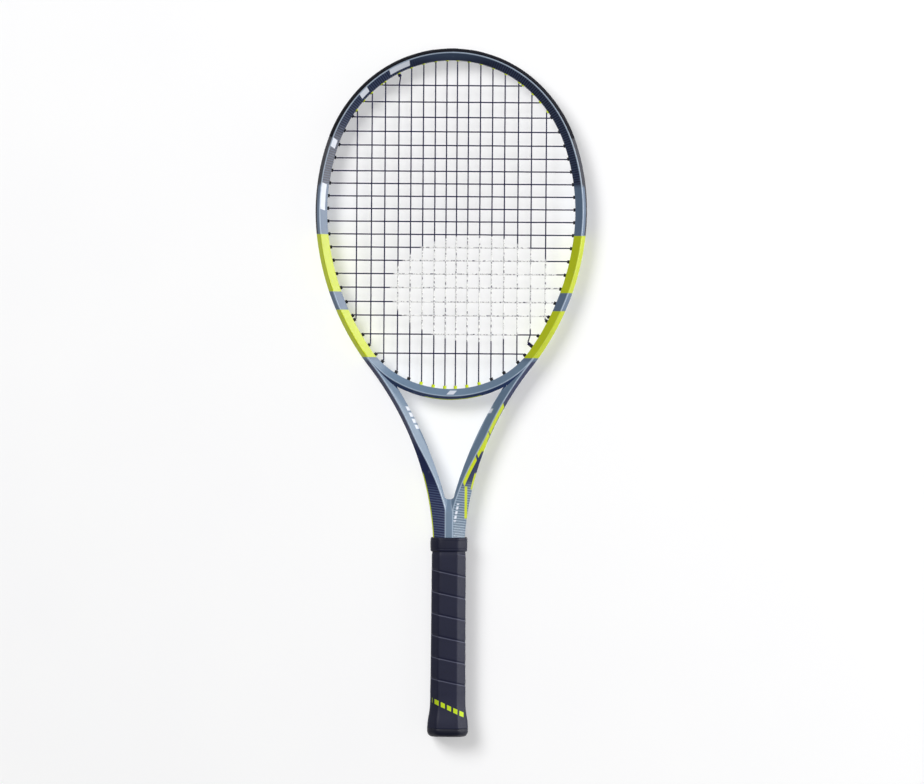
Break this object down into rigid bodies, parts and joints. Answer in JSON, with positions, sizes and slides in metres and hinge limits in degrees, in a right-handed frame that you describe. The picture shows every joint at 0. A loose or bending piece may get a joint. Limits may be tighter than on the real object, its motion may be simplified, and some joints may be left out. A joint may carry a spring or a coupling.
{
  "type": "tennis racket",
  "caption": "Strung adult tennis racket: oval head with bumper and grommets, open throat, woven string bed, wrapped grip with collar and butt cap.",
  "frame": {"origin": "centre of the racket's length and width, on the surface that the flat of the butt cap stands on", "axes": "+Y from the butt to the tip of the head, +X to the right seen from the front face, +Z out of the front face of the strings"},
  "size_m": [0.27, 0.6858, 0.0376],
  "materials": {
    "frame_paint": "gloss lacquer over moulded carbon fibre, navy to grey-blue with lime bands",
    "guard_plastic": "moulded nylon, near-black plum",
    "lime_plastic": "moulded nylon, lime",
    "black_plastic": "moulded nylon, black",
    "string": "extruded polyester, dark navy",
    "pallet_foam": "moulded rigid foam",
    "cap_plastic": "moulded, near-black",
    "steel_wire": "drawn wire",
    "grip_cushion": "perforated synthetic grip, near-black navy",
    "tape": "adhesive finishing tape",
    "collar_rubber": "moulded rubber"
  },
  "bodies": {
    "racket": {"head_hoop": "frame_paint", "right_shaft": "frame_paint", "left_shaft": "frame_paint", "throat_bridge": "frame_paint", "bumper_guard": "guard_plastic", "head_grommets": "lime_plastic", "right_side_grommets": "black_plastic", "left_side_grommets": "black_plastic", "throat_grommets": "lime_plastic", "corner_grommets": "black_plastic", "main_string": "string", "cross_string": "string", "string_turns": "string", "string_knots": "string", "handle_pallet": "pallet_foam", "butt_cap": "cap_plastic", "butt_cap_staples": "steel_wire", "grip_tack": "steel_wire", "grip_wrap": "grip_cushion", "finishing_tape": "tape"},
    "trap_door": {"trap_door": "cap_plastic"},
    "grip_collar": {"grip_collar": "collar_rubber"}
  },
  "joints": [
    {"name": "trap_door_slide", "type": "slide", "parent": "racket", "child": "trap_door", "axis": [0, -1, 0], "range_m": [0, 0.012]},
    {"name": "collar_slide", "type": "slide", "parent": "racket", "child": "grip_collar", "axis": [0, 1, 0], "range_m": [0, 0.01]}
  ]
}
